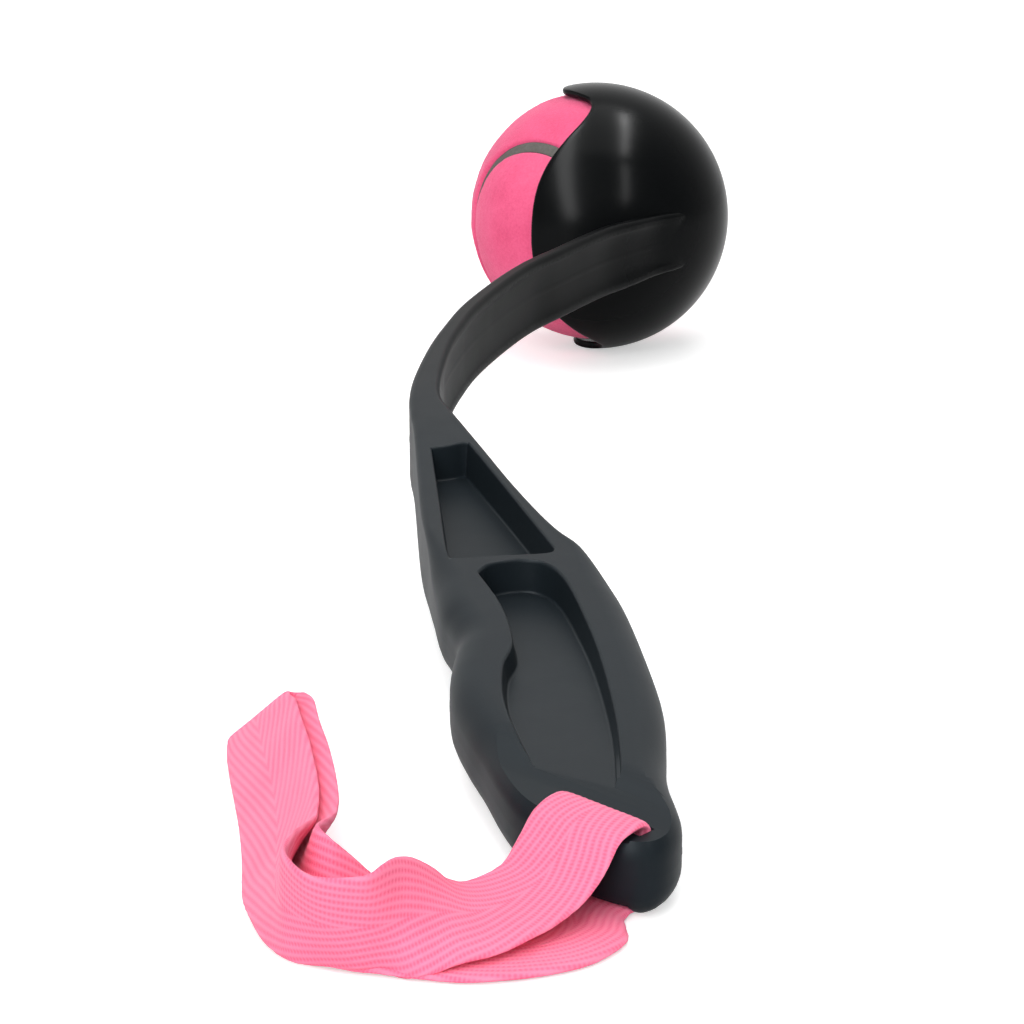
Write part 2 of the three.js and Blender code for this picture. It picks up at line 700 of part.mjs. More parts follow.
export default thrower;
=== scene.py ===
import math

import bmesh
import bpy
from mathutils import Matrix, Vector, noise
from mathutils.kdtree import KDTree


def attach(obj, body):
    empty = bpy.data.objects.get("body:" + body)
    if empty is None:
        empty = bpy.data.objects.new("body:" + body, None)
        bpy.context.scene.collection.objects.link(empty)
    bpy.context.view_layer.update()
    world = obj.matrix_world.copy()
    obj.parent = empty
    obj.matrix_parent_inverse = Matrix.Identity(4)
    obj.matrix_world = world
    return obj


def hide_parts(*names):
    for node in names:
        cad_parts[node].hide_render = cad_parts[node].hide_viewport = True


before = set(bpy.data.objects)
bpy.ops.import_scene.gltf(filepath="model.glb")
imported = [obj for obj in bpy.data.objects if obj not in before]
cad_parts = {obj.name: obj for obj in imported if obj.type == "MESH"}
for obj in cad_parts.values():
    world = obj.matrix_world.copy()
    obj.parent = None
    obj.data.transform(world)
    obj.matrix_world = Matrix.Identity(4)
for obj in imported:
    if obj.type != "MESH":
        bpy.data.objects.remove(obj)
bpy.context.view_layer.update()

# Where the launcher lies. Shapes are drawn in millimetres about the cup's centre, with the grip towards
# -Y and the two faces towards +Z and -Z, then tipped and moved to their place on the floor, in metres.
MM = 0.001
CUP_CENTRE = Vector((3.9356, 177.6879, 34.1959))
TILT = math.radians(4.068154)
PLACE = (
    Matrix.Scale(MM, 4)
    @ Matrix.Translation(CUP_CENTRE)
    @ Matrix.Rotation(TILT, 4, "X")
)
BALL_TURNS = [math.radians(turn) for turn in (-4.8, -32.2, -168.8)]
BALL_PLACE = (
    PLACE
    @ Matrix.Rotation(BALL_TURNS[0], 4, "X")
    @ Matrix.Rotation(BALL_TURNS[1], 4, "Y")
    @ Matrix.Rotation(BALL_TURNS[2], 4, "Z")
)


# Camera

# As it was fitted to the photograph, with its lens and sensor in millimetres
LENS, SENSOR = 105.47, 36
CAMERA_PLACE = (-0.0176, -0.5897, 0.162)
CAMERA_PITCH = math.radians(74.91)


def add_camera():
    data = bpy.data.cameras.new("camera")
    data.lens = LENS
    data.sensor_width = SENSOR
    camera = bpy.data.objects.new("camera", data)
    camera.location = CAMERA_PLACE
    camera.rotation_euler = (CAMERA_PITCH, 0, 0)
    bpy.context.scene.collection.objects.link(camera)
    bpy.context.scene.camera = camera


add_camera()


# Meshes and curves

def mesh_object(name, points, faces, place=None, uvs=None):
    mesh = bpy.data.meshes.new(name)
    mesh.from_pydata([tuple(point) for point in points], [], faces)
    if uvs:
        layer = mesh.uv_layers.new(name="UVMap")
        for loop in mesh.loops:
            layer.data[loop.index].uv = uvs[loop.vertex_index]
    if place is not None:
        mesh.transform(place)
    mesh.validate()
    piece = bpy.data.objects.new(name, mesh)
    bpy.context.scene.collection.objects.link(piece)
    return piece


def smooth(piece, sharp_angle=None):
    """Smooth shading, with edges over the angle in degrees kept sharp if one is given."""
    piece.data.shade_smooth()
    if sharp_angle is not None:
        piece.data.set_sharp_from_angle(angle=math.radians(sharp_angle))


def lerp(a, b, share):
    return a + (b - a) * share


def smoothstep(x, low, high):
    t = min(1, max(0, (x - low) / (high - low)))
    return t * t * (3 - 2 * t)


def along(points, t):
    """A point of the smooth curve through points, t from 0 to 1, with an equal share of t for each gap."""
    last = len(points) - 1
    place = t * last
    i = min(int(place), last - 1)
    w = place - i
    p0, p1 = points[max(i - 1, 0)], points[i]
    p2, p3 = points[i + 1], points[min(i + 2, last)]
    v0, v1 = (p2 - p0) * 0.5, (p3 - p1) * 0.5
    return (
        (p1 * 2 - p2 * 2 + v0 + v1) * w ** 3
        + (p2 * 3 - p1 * 3 - v0 * 2 - v1) * w ** 2
        + v0 * w + p1
    )


def running_length(points):
    """How far along the line of points each of them lies."""
    reach = [0.0]
    for a, b in zip(points, points[1:]):
        reach.append(reach[-1] + (b - a).length)
    return reach


def even(points, steps, fine=1200):
    """The curve through points as steps + 1 points at even distances."""
    dense = [along(points, i / fine) for i in range(fine + 1)]
    reach = running_length(dense)
    found, j = [], 0
    for step in range(steps + 1):
        goal = reach[-1] * step / steps
        while j < fine - 1 and reach[j + 1] < goal:
            j += 1
        share = (goal - reach[j]) / max(reach[j + 1] - reach[j], 1e-9)
        found.append(dense[j].lerp(dense[j + 1], min(1, share)))
    return found


def inward(points):
    """Unit vectors that point in from a closed anticlockwise outline."""
    count = len(points)
    found = []
    for i in range(count):
        ahead = (points[(i + 1) % count] - points[i - 1]).normalized()
        found.append(Vector((-ahead.y, ahead.x)))
    return found


def untangle(outline, ring, passes=40):
    """The outline's inset ring, with its points drawn together where it has crossed itself."""
    count = len(ring)
    for _ in range(passes):
        crossed = [
            i for i in range(count)
            if (ring[(i + 1) % count] - ring[i]).xy.dot(outline[(i + 1) % count] - outline[i]) < 0
        ]
        if not crossed:
            break
        for i in crossed:
            j = (i + 1) % count
            middle = (ring[i] + ring[j]) / 2
            ring[i] = middle.copy()
            ring[j] = middle.copy()
    return ring


def loft_faces(rings, count, first=0, closed=False):
    """Quads between rings of count points each, and from the last ring to the first if closed."""
    faces = []
    for ring in range(rings if closed else rings - 1):
        here = first + ring * count
        ahead = first + (ring + 1) % rings * count
        for i in range(count):
            j = (i + 1) % count
            faces.append((here + i, here + j, ahead + j, ahead + i))
    return faces


def closed_loft(name, rings, ladder=False):
    """Rings of equal length joined into a solid. The ends are flat, or ladders across a long outline."""
    count = len(rings[0])
    points = [point for ring in rings for point in ring]
    faces = loft_faces(len(rings), count)
    last = (len(rings) - 1) * count
    if ladder:
        for i in range(count // 2 - 1):
            a, b, c, d = i, i + 1, count - 2 - i, count - 1 - i
            faces.append((d, c, b, a))
            faces.append((last + a, last + b, last + c, last + d))
    else:
        faces.append(tuple(reversed(range(count))))
        faces.append(tuple(range(last, last + count)))
    piece = mesh_object(name, points, faces)
    tidy(piece)
    return piece


def tidy(piece, near=2e-3):
    """Joins the points within this distance of each other, and turns the faces outwards."""
    work = bmesh.new()
    work.from_mesh(piece.data)
    bmesh.ops.remove_doubles(work, verts=work.verts, dist=near)
    bmesh.ops.dissolve_degenerate(work, edges=work.edges, dist=near)
    bmesh.ops.recalc_face_normals(work, faces=work.faces)
    work.to_mesh(piece.data)
    work.free()


def apply_modifiers(piece):
    ready = piece.evaluated_get(bpy.context.evaluated_depsgraph_get())
    mesh = bpy.data.meshes.new_from_object(ready)
    piece.modifiers.clear()
    piece.data = mesh


def combine(piece, other, operation):
    step = piece.modifiers.new("step", "BOOLEAN")
    step.operation = operation
    step.solver = "MANIFOLD"
    step.object = other
    apply_modifiers(piece)
    bpy.data.objects.remove(other)


# Wrist strap

# In millimetres. The route is the part's own, from the slot's middle and back to it: a point from the
# strap's start, and the direction across the webbing there.
STRAP_WIDTH = 16
STRAP_THICKNESS = 1.3
STRAP_START = Vector((-3.8229, -196.2518, 7.6005))
STRAP_ROUTE = [
    ((-0.49, -0.52, 0), (-0.73, 0.68, 0.05)),
    ((-0.49, -0.8, 4.2), (-0.73, 0.68, 0.05)),
    ((-0.66, -1.06, 5.4), (-0.73, 0.68, 0.05)),
    ((-1.32, -1.79, 6), (-0.73, 0.68, 0.05)),
    ((-2.93, -3.44, 5.9), (-0.73, 0.68, 0.05)),
    ((-4.9, -5.5, 4.9), (-0.73, 0.68, 0.05)),
    ((-6.9, -8, 1.9), (-0.74, 0.67, 0.05)),
    ((-9.4, -10.4, -1.2), (-0.71, 0.7, 0.05)),
    ((-13.1, -14, -2.6), (-0.67, 0.72, 0.12)),
    ((-16, -17, -2.7), (-0.6, 0.77, 0.18)),
    ((-19.2, -19.9, -2.3), (-0.46, 0.82, 0.33)),
    ((-22.8, -22.6, -1), (-0.26, 0.79, 0.54)),
    ((-27.2, -26.6, 0.4), (-0.14, 0.42, 0.86)),
    ((-32.3, -29.8, 0.7), (-0.1, -0.3, 0.95)),
    ((-38.2, -29.3, 0.7), (-0.14, -0.32, 0.94)),
    ((-43.2, -25.3, 1.1), (-0.06, -0.07, 1)),
    ((-44.9, -18.8, 1), (0.22, 0.08, 0.97)),
    ((-45.6, -10, 0.1), (0.5, 0.1, 0.86)),
    ((-46.2, -2, -0.9), (0.66, 0.07, 0.75)),
    ((-46.9, 9, -1.1), (0.69, 0.06, 0.72)),
    ((-49, 26.3, -1.1), (0.69, 0.04, 0.72)),
    ((-51.6, 42, -1.1), (0.68, -0.02, 0.73)),
    ((-53, 51.2, -1.3), (0.69, -0.1, 0.72)),
    ((-53.95, 57.3, -1.45), (0.66, -0.34, 0.67)),
    ((-53.95, 60.1, -1.7), (0.65, -0.39, 0.65)),
    ((-52.15, 60.1, -1.7), (0.65, -0.39, 0.65)),
    ((-51.15, 57.3, -1.45), (0.65, -0.34, 0.68)),
    ((-50.05, 51, -1.25), (0.68, -0.13, 0.72)),
    ((-48.6, 40, -1.1), (0.68, -0.02, 0.73)),
    ((-46.3, 26.3, -1.1), (0.69, 0.04, 0.72)),
    ((-44.1, 9, -1.1), (0.69, 0.06, 0.72)),
    ((-43.2, -2, -0.7), (0.62, 0.07, 0.78)),
    ((-42.7, -9.5, 0.2), (0.45, 0.1, 0.88)),
    ((-41.8, -15.6, 0.6), (0.24, 0.22, 0.94)),
    ((-39.2, -19.6, -0.1), (0.2, 0.5, 0.84)),
    ((-35.4, -20.7, -1.9), (0.14, 0.76, 0.62)),
    ((-30.5, -21.2, -4.2), (0.06, 0.94, 0.32)),
    ((-25, -22.4, -6.1), (-0.02, 1, 0.08)),
    ((-20, -23.2, -6.75), (-0.08, 1, 0)),
    ((-14.6, -22.2, -6.8), (-0.34, 0.94, 0)),
    ((-8.6, -19.4, -6.8), (-0.62, 0.78, 0)),
    ((-5.2, -14.2, -6.8), (-0.86, 0.5, 0)),
    ((-4.8, -9, -6.75), (-0.83, 0.57, 0)),
    ((-4.3, -5.1, -6.67), (-0.75, 0.66, 0.03)),
    ((-2.93, -2.6, -6.2), (-0.73, 0.68, 0.05)),
    ((-1.32, -0.94, -6), (-0.73, 0.68, 0.05)),
    ((-0.66, -0.3, -5.4), (-0.73, 0.68, 0.05)),
    ((-0.49, -0.2, -4.2), (-0.73, 0.68, 0.05)),
]
RIB_ANGLE = math.radians(11)
RIB_PITCH = 1.15
RIB_HEIGHT = 0.06
YARN_PITCH = 0.55
STRAP_STEPS, STRAP_COLUMNS = 520, 52
THIN_EDGE, EDGE_POWER = 0.18, 10
WANDER, WANDER_RATES = 0.12, (0.11, 0.8, 3.1)
FRAY, FRAY_RATE, FRAY_POWER = 0.09, 0.9, 8

# How many millimetres of tape one unit of its texture coordinates covers
UV_UNIT = 10


def ring_curve(points, t):
    """A point of the smooth closed curve through points, t from 0 to 1. Its slopes allow for the gaps."""
    count = len(points)
    place = (t % 1) * count
    i = int(place) % count
    w = place - int(place)
    p0, p1, p2, p3 = (points[(i + k) % count] for k in (-1, 0, 1, 2))
    least = 1e-4
    gaps = [max((b - a).length ** 0.5, least) for a, b in ((p0, p1), (p1, p2), (p2, p3))]
    if gaps[1] <= least:
        gaps[1] = 1.0
    g0, g1, g2 = (gaps[1] if gap <= least else gap for gap in gaps)
    t1 = ((p1 - p0) / g0 - (p2 - p0) / (g0 + g1) + (p2 - p1) / g1) * g1
    t2 = ((p2 - p1) / g1 - (p3 - p1) / (g1 + g2) + (p3 - p2) / g2) * g1
    return (
        (p1 * 2 - p2 * 2 + t1 + t2) * w ** 3
        + (p2 * 3 - p1 * 3 - t1 * 2 - t2) * w ** 2
        + t1 * w + p1
    )


def rib(across_mm, along_mm):
    """Height of the herringbone's ribs at a place on the webbing, from 0 to 1."""
    phase = (abs(across_mm) * math.cos(RIB_ANGLE) - along_mm * math.sin(RIB_ANGLE)) / RIB_PITCH
    return 0.5 + 0.5 * math.cos(math.tau * phase)


def webbing_point(share, face, reach, rib_reach):
    """How far across and how far out of the webbing its skin lies. The face is 1 in front and -1 behind."""
    offset = share * STRAP_WIDTH / 2
    edge = lerp(THIN_EDGE, 1, (1 - abs(share) ** EDGE_POWER) ** 0.5)
    height = STRAP_THICKNESS / 2 * edge - RIB_HEIGHT + rib(offset, rib_reach) * RIB_HEIGHT * edge
    wander = WANDER * noise.noise(Vector(WANDER_RATES) * Vector((reach, share, 1)))
    fray = FRAY * abs(share) ** FRAY_POWER * noise.noise(Vector((reach * FRAY_RATE, face, share)))
    return offset + fray, face * height + wander * (1 - abs(share) * 0.5)


def make_strap():
    route = [Vector(at) for at, _ in STRAP_ROUTE]
    sides = [Vector(across) for _, across in STRAP_ROUTE]
    fine, near = 4000, 2e-4
    reach = running_length([ring_curve(route, i / fine) for i in range(fine + 1)])
    length = reach[-1]
    rib_along = RIB_PITCH / math.sin(RIB_ANGLE)
    stretch = round(length / rib_along) * rib_along / length
    profile = [(-1 + 2 * i / STRAP_COLUMNS, 1) for i in range(STRAP_COLUMNS + 1)]
    profile += [(1 - 2 * i / STRAP_COLUMNS, -1) for i in range(STRAP_COLUMNS + 1)]
    points, uvs, path, j = [], [], [], 0
    for step in range(STRAP_STEPS):
        goal = length * step / STRAP_STEPS
        while reach[j + 1] < goal:
            j += 1
        t = (j + (goal - reach[j]) / (reach[j + 1] - reach[j])) / fine
        middle = ring_curve(route, t)
        path.append(middle)
        tangent = (ring_curve(route, t + near) - ring_curve(route, t - near)).normalized()
        across = ring_curve(sides, t).normalized()
        out = tangent.cross(across).normalized()
        for share, face in profile:
            offset, height = webbing_point(share, face, goal, goal * stretch)
            points.append(middle + across * offset + out * height)
            uvs.append((share * STRAP_WIDTH / 2 / UV_UNIT, goal * stretch / UV_UNIT))
    path.append(path[0])
    place = Matrix.Scale(MM, 4) @ Matrix.Translation(STRAP_START)
    faces = loft_faces(STRAP_STEPS, len(profile), closed=True)
    strap = mesh_object("wrist_strap_webbing", points, faces, place, uvs)
    tidy(strap, near=1e-6)
    smooth(strap)
    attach(strap, "launcher")
    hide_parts("wrist_strap")
    path = [place @ point for point in path]
    return strap


strap = make_strap()


# Launcher: one moulding of cup, arm and grip

# In millimetres. The handle's tables are in shares of GRIP_WIDTH and HANDLE_LENGTH, the arm's route in
# shares of ARM_REACH and ARM_LENGTH, and the rim's table gives turns and angles in degrees.
BALL_RADIUS = 31.75
BALL_CLEARANCE = 0.6
CUP_INNER = BALL_RADIUS + BALL_CLEARANCE
CUP_WALL = 1.8
CUP_OUTER = CUP_INNER + CUP_WALL
EXIT_CLEARANCE = 0.2
OPENING = math.radians(147)
HALF = 7
ARM_REACH = 42
ARM_LENGTH = 185
HANDLE_LENGTH = 205
GRIP_WIDTH = 33
ARM_THICKNESS = (3.4, 6.6)
EDGE_RADIUS = 1.2
GRIP_EDGE_RADIUS = 5
EDGE_GROWTH = (0.36, 0.5)
EDGE_BENDS = 7
PARTING_HEIGHT, PARTING_DEPTH = 0.22, 0.05
WEB = 2.4
POCKET_BENDS = 5
SOFT_SHARE = 0.42
GRIP_FLOOR_RUN = (0.46, 0.905)
ARM_RISE = 1.4
HANDLE_RISE_LENGTH = 75
CUP_RISE_LENGTH = 30
ARM_RECESS = 1
ARM_RIM = 1.9
COVE_LINE = 0.07
SLOT_WIDTH = 3.4
SLOT_SOFT = 0.5
BAR_WIDTH = 5
SADDLE_DEPTH = 2.1
SADDLE_ROUND = 1.5
SADDLE_FALLS = (0.2, 2.5)
BUTT_SPAN = 60
BUTT_BULGE = 0.8
BUTT_STEPS = 13
CORNER_REACH = 13
CORNER_PASSES = 14
RAMP_LENGTH = 11
RAMP_DROP = 1.9
STRAP_GAP = 0.12

# How far a cutter stands clear of what it cuts, and how far its edge stands proud of the face it leaves
CLEAR = 3
HAIR = 0.02

FINGER_SIDE = [
    (-0.1, 0), (-0.085, 0.05), (-0.05, 0.115), (0.02, 0.31), (0.075, 0.4), (0.11, 0.465),
    (0.155, 0.53), (0.208, 0.565), (0.252, 0.6), (0.236, 0.635), (0.225, 0.675), (0.243, 0.72),
    (0.31, 0.77), (0.386, 0.815), (0.452, 0.86), (0.535, 0.91),
]
PALM_SIDE = [
    (1.24, 0.93), (1.2, 0.855), (1.222, 0.745), (1.173, 0.64), (1.066, 0.507), (0.908, 0.415),
    (0.753, 0.365), (0.541, 0.26), (0.362, 0.16), (0.176, 0.055), (0.092, 0),
]
HEEL = [(1.06, 0.99), (1.19, 0.977)]
ARM_ROUTE = [
    (-0.921, 1), (-0.921, 0.9163), (-0.876, 0.7879), (-0.812, 0.6874), (-0.729, 0.5892),
    (-0.576, 0.4664), (-0.426, 0.3704), (-0.262, 0.2945), (-0.119, 0.2275), (0.029, 0.165),
    (0.2, 0.1103), (0.329, 0.0712), (0.4473, 0.0456), (0.5284, 0.0224),
]
ARM_END = Vector((0.7222 * CUP_OUTER, -0.5643 * CUP_OUTER))
ARM_THINNING = [1, 0.65, 0.35, 0.22, 0.19, 0.12, 0.06, 0, 0, 0, 0, -0.1, -0.2, -0.3, -0.4]
TRIANGLE_POCKET = [
    (0.06, 0.163), (0.17, 0.155), (0.25, 0.148), (0.3, 0.165), (0.52, 0.29), (0.71, 0.405),
    (0.735, 0.425), (0.69, 0.434), (0.45, 0.44), (0.235, 0.446), (0.185, 0.43), (0.125, 0.3),
]
GRIP_POCKET = [
    (0.35, 0.48), (0.41, 0.461), (0.55, 0.451), (0.69, 0.46), (0.79, 0.5), (0.88, 0.59),
    (0.94, 0.675), (0.985, 0.79), (0.985, 0.885), (0.955, 0.9), (0.82, 0.905), (0.68, 0.905),
    (0.65, 0.9), (0.58, 0.845), (0.49, 0.755), (0.48, 0.685), (0.525, 0.633), (0.47, 0.555),
]
RIM = [
    (0, 93), (20, 93.7), (33, 96), (47, 100.5), (58, 103.3), (67, 103.2),
    (73.5, 99.5), (77.5, 90), (82, 81), (90, 77),
]
RIM_DIP = math.radians(3.3)
ROOT = Vector((ARM_ROUTE[0][0] * ARM_REACH, -ARM_LENGTH))


def handle_point(shares):
    return Vector((ROOT.x + shares[0] * GRIP_WIDTH, ROOT.y - shares[1] * HANDLE_LENGTH))


def half_height(y):
    """Half the moulding's thickness, which grows along the arm."""
    from_handle = smoothstep(y, ROOT.y - HANDLE_RISE_LENGTH, ROOT.y)
    from_cup = smoothstep(-y, CUP_OUTER / 2, CUP_OUTER / 2 + CUP_RISE_LENGTH)
    return HALF + ARM_RISE * min(from_handle, from_cup)


def arm_sides():
    """The arm's finger side and its palm side, from the root to the cup."""
    near = 1e-3
    route = [Vector((x * ARM_REACH, lerp(ARM_END.y, -ARM_LENGTH, y))) for x, y in ARM_ROUTE] + [ARM_END]
    last = len(route) - 1
    finger, palm = [], []
    for i, share in enumerate(ARM_THINNING):
        t = i / last
        ahead = (along(route, min(1, t + near)) - along(route, max(0, t - near))).normalized()
        side = Vector((-ahead.y, ahead.x)) * lerp(*ARM_THICKNESS, share) / 2
        finger.append(route[i] + side)
        palm.append(route[i] - side)
    return finger, palm


def launcher_outline(steps):
    """From the cup down the finger side, across the butt's end and back up the palm side."""
    finger, palm = arm_sides()
    finger_side = finger[:0:-1] + [handle_point(p) for p in FINGER_SIDE]
    palm_side = [handle_point(p) for p in HEEL + PALM_SIDE] + palm[1:]
    corners = [finger_side[-1], palm_side[0]]
    across = corners[1] - corners[0]
    bulge = Vector((across.y, -across.x)).normalized() * BUTT_BULGE
    end_line = []
    for i in range(1, BUTT_STEPS):
        share = i / BUTT_STEPS
        end_line.append(corners[0] + across * share + bulge * 4 * share * (1 - share))
    outline = even(finger_side, steps) + end_line + even(palm_side, steps)
    return softened(outline, corners)


def softened(outline, corners):
    """The outline with its points near the corners drawn towards their neighbours, which rounds them."""
    shares = [
        1 - smoothstep(min((point - corner).length for corner in corners), CORNER_REACH / 2, CORNER_REACH)
        for point in outline
    ]
    for _ in range(CORNER_PASSES):
        outline = [
            point.lerp((outline[i - 1] + outline[(i + 1) % len(outline)]) / 2, share / 2)
            for i, (point, share) in enumerate(zip(outline, shares))
        ]
    return outline


def slab(outline):
    """The outline as a slab with rounded edges, and a fine parting line round its middle."""
    start, full = (ROOT.y - HANDLE_LENGTH * share for share in EDGE_GROWTH)
    normals = inward(outline)
    radii = [
        lerp(EDGE_RADIUS, GRIP_EDGE_RADIUS, smoothstep(-point.y, -start, -full))
        for point in outline
    ]
    heights = [half_height(point.y) for point in outline]

    def ring(angle, sign):
        made = []
        for point, normal, radius, half in zip(outline, normals, radii, heights):
            moved = point + normal * radius * (1 - math.cos(angle))
            made.append(Vector((moved.x, moved.y, sign * (half - radius + radius * math.sin(angle)))))
        return untangle(outline, made)

    def line(offset, z):
        return [Vector((*(p - n * offset), z)) for p, n in zip(outline, normals)]

    rings = [ring(math.pi / 2 * step / EDGE_BENDS, -1) for step in range(EDGE_BENDS, -1, -1)]
    rings += [line(0, -PARTING_HEIGHT), line(PARTING_DEPTH, 0), line(0, PARTING_HEIGHT)]
    rings += [ring(math.pi / 2 * step / EDGE_BENDS, 1) for step in range(EDGE_BENDS + 1)]
    return closed_loft("launcher_moulding", rings, ladder=True)


def recess(name, outline, floor_at, draft, fillet, rim):
    """A cutter for a pocket with a filleted floor, drafted walls and a softened rim, in the upper face."""
    if sum(a.cross(b) for a, b in zip(outline, outline[1:] + outline[:1])) < 0:
        outline = outline[::-1]
    normals = inward(outline)
    floors = [floor_at(point.y) for point in outline]
    tops = [half_height(point.y) for point in outline]

    def ring(inset_at, height_at):
        made = []
        for point, normal, floor, top in zip(outline, normals, floors, tops):
            depth = top - floor
            moved = point + normal * inset_at(depth)
            made.append(Vector((moved.x, moved.y, height_at(floor, top))))
        return untangle(outline, made)

    def foot(depth):
        return min(fillet, depth * SOFT_SHARE)

    def lip(depth):
        return min(rim, depth * SOFT_SHARE)

    rings = []
    for step in range(POCKET_BENDS + 1):
        a = math.pi / 2 * step / POCKET_BENDS
        rings.append(ring(
            lambda depth: draft + foot(depth) * (1 - math.sin(a)),
            lambda floor, top: floor + foot(top - floor) * (1 - math.cos(a)),
        ))
    for step in range(POCKET_BENDS + 1):
        a = math.pi / 2 * step / POCKET_BENDS
        rings.append(ring(
            lambda depth: -lip(depth) * (1 - math.cos(a)),
            lambda floor, top: top - lip(top - floor) * (1 - math.sin(a)) + HAIR * step / POCKET_BENDS,
        ))
    rings.append([point + Vector((0, 0, CLEAR)) for point in rings[-1]])
    return closed_loft(name, rings)


def mirrored(cutter):
    """The same cutter for the lower face."""
    other = cutter.copy()
    other.data = cutter.data.copy()
    other.data.transform(Matrix.Scale(-1, 4, (0, 0, 1)))
    other.data.flip_normals()
    bpy.context.scene.collection.objects.link(other)
    return other


def pocket_outline(shares, steps):
    points = [handle_point(p) for p in shares]
    return even(points + points[:1], steps)[:-1]


def grip_floor(y):
    """The height of the grip pocket's floor, which rises from the web towards the butt."""
    start, end = (ROOT.y - HANDLE_LENGTH * share for share in GRIP_FLOOR_RUN)
    share = min(1, max(0, (start - y) / (start - end)))
    return lerp(WEB / 2, HALF - ARM_RECESS, share)


def butt_frame():
    """The slot's middle, the direction along the butt's end and the one out of it."""
    finger_corner, heel_corner = handle_point(FINGER_SIDE[-1]), handle_point(HEEL[0])
    ahead = (heel_corner - finger_corner).normalized()
    out = Vector((ahead.y, -ahead.x))
    middle = (finger_corner + heel_corner) / 2 - out * (BAR_WIDTH + SLOT_WIDTH / 2)
    return middle, ahead, out


def slot_outline(length, width, steps=12):
    middle, ahead, out = butt_frame()
    points = []
    for end, start in ((1, -math.pi / 2), (-1, math.pi / 2)):
        for step in range(steps + 1):
            a = start + math.pi * step / steps
            x = end * (length - width) / 2 + math.cos(a) * width / 2
            points.append(middle + ahead * x - out * math.sin(a) * width / 2)
    return points


def strap_slot():
    """A cutter for the slot. The webbing fills it, and its lower mouth is softened."""
    rings = []
    mouth, soft, bend = SADDLE_DEPTH - HALF, SLOT_SOFT, SLOT_SOFT * 0.3
    narrow, length = SLOT_WIDTH / 2 + STRAP_GAP, STRAP_WIDTH + 2 * STRAP_GAP
    shift = butt_frame()[2] * (SLOT_WIDTH - narrow) / 2
    for z, grown in (
        (-HALF - CLEAR, soft), (mouth, soft), (mouth + bend, bend), (mouth + soft, 0), (HALF + CLEAR, 0),
    ):
        outline = slot_outline(length + 2 * grown, narrow + 2 * grown)
        rings.append([Vector((*(point + shift), z)) for point in outline])
    return closed_loft("slot", rings)


def butt_prism(name, profile, length):
    """A cutter across the butt: a profile of distances out from the slot and heights, run along the end."""
    middle, ahead, out = butt_frame()
    rings = []
    for side in (-1, 1):
        rings.append([
            Vector((*(middle + ahead * side * length / 2 + out * reach), z)) for reach, z in profile
        ])
    return closed_loft(name, rings)


def butt_ramp():
    """A cutter that lets the upper face fall gently from the grip to the slot, and lie low over the bar."""
    steps, lift, top = 24, 0.004, HALF + CLEAR
    profile = []
    for i in range(steps + 1):
        share = i / steps
        reach = lerp(-RAMP_LENGTH, BAR_WIDTH + GRIP_EDGE_RADIUS, share)
        drop = RAMP_DROP * smoothstep(reach, -RAMP_LENGTH, 0)
        profile.append((reach, HALF - drop + lift * (1 - share)))
    return butt_prism("ramp", profile + [(profile[-1][0], top), (profile[0][0], top)], BUTT_SPAN)


def saddle(length):
    """A cutter for the webbing's seat on the bar, rounded over towards the slot and the butt's end."""
    bends, floor, top = 6, HALF - SADDLE_DEPTH, HALF + CLEAR
    end = BAR_WIDTH + SLOT_WIDTH / 2 + GRIP_EDGE_RADIUS
    profile = [(0, floor - SADDLE_ROUND)]
    for step in range(1, bends + 1):
        a = math.pi / 2 * step / bends
        profile.append((
            SLOT_WIDTH / 2 + SADDLE_ROUND * (1 - math.cos(a)), floor - SADDLE_ROUND * (1 - math.sin(a)),
        ))
    near_fall, far_fall = SADDLE_FALLS
    profile += [(end - BAR_WIDTH, floor - near_fall), (end, floor - far_fall), (end, top), (0, top)]
    return butt_prism("saddle", profile, length)


def arm_cove():
    """A cutter for the shallow cove along the arm's hollow side, between two raised rims."""
    steps, columns, fade_steps = 110, 24, 14
    flatness, roundness = 2.6, 0.75
    _, palm = arm_sides()
    line = even(palm[1:-1], steps)
    normals = inward(line)
    normals[0], normals[steps] = normals[1], normals[steps - 1]
    shares = [-1 + 2 * i / columns for i in range(columns + 1)]

    def row(point, normal, cut):
        half = half_height(point.y) - ARM_RIM
        return [Vector((*(point + normal * cut(share)), share * half)) for share in shares]

    rings = []
    for i, (point, normal) in enumerate(zip(line, normals)):
        fade = smoothstep(min(i, steps - i), 0, fade_steps)

        def cove(share):
            depth = ARM_RECESS * (1 - abs(share) ** flatness) ** roundness
            return (depth - (COVE_LINE if share == 0 else 0)) * fade - HAIR

        rings.append(row(point, normal, cove) + row(point, normal, lambda share: -CLEAR)[::-1])
    return closed_loft("cove", rings)


def rim_samples(quarter):
    """The cup's rim as turns and angles, in degrees, with this many steps for each quarter of a turn."""
    points = [Vector(p) for p in RIM] + [Vector((180 - turn, angle)) for turn, angle in RIM[-2::-1]]
    half = even(points, quarter * 2)
    return half + [Vector((360 - p.x, p.y)) for p in half[-2:0:-1]]


def cup_direction(turn, angle, dip=RIM_DIP):
    """A direction from the cup's centre, by its turn round the rim's axis and its angle from it."""
    axis = Vector((math.cos(OPENING) * math.cos(dip), math.sin(OPENING) * math.cos(dip), -math.sin(dip)))
    arm_side = Vector((-math.sin(OPENING), math.cos(OPENING), 0))
    return (
        axis * math.cos(angle)
        + arm_side * math.sin(angle) * math.cos(turn)
        + axis.cross(arm_side) * math.sin(angle) * math.sin(turn)
    )


